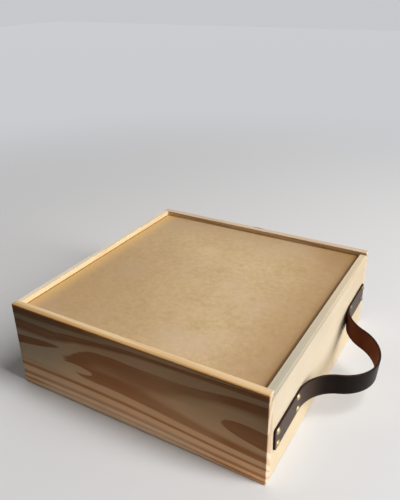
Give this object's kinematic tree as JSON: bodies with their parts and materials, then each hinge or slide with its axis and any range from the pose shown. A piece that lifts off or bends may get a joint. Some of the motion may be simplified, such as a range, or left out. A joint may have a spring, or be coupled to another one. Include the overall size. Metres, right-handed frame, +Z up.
{
  "type": "wooden box",
  "caption": "Shallow square pine box for papers and keepsakes, with a sliding MDF lid in grooves and a dark leather strap handle nailed to its open end.",
  "frame": {"origin": "middle of the underside, on the bottom panel's lower face", "axes": "+X from the closed end to the strap end, which is also the way the lid slides out, +Y from front to back, +Z up"},
  "size_m": [0.3207, 0.275, 0.093],
  "materials": {
    "pine": "bare planed pine, sanded, with open grain",
    "mdf": "bare MDF sheet, smooth and matt",
    "leather": "dark smooth leather, reddish brown flesh side",
    "brass": "polished, a little dulled",
    "steel": "bright drawn wire"
  },
  "bodies": {
    "box": {"front_board": "pine", "back_board": "pine", "left_end_board": "pine", "right_end_board": "pine", "bottom_panel": "mdf", "handle_strap": "leather", "near_strap_nails": "brass", "far_strap_nails": "brass", "front_left_pins": "steel", "front_right_pins": "steel", "back_left_pins": "steel", "back_right_pins": "steel", "bottom_pins": "steel"},
    "lid": {"lid_panel": "mdf", "lid_end_strip": "pine"}
  },
  "joints": [
    {"name": "lid_slide", "type": "slide", "parent": "box", "child": "lid", "axis": [1, 0, 0], "range_m": [0, 0.27]}
  ]
}
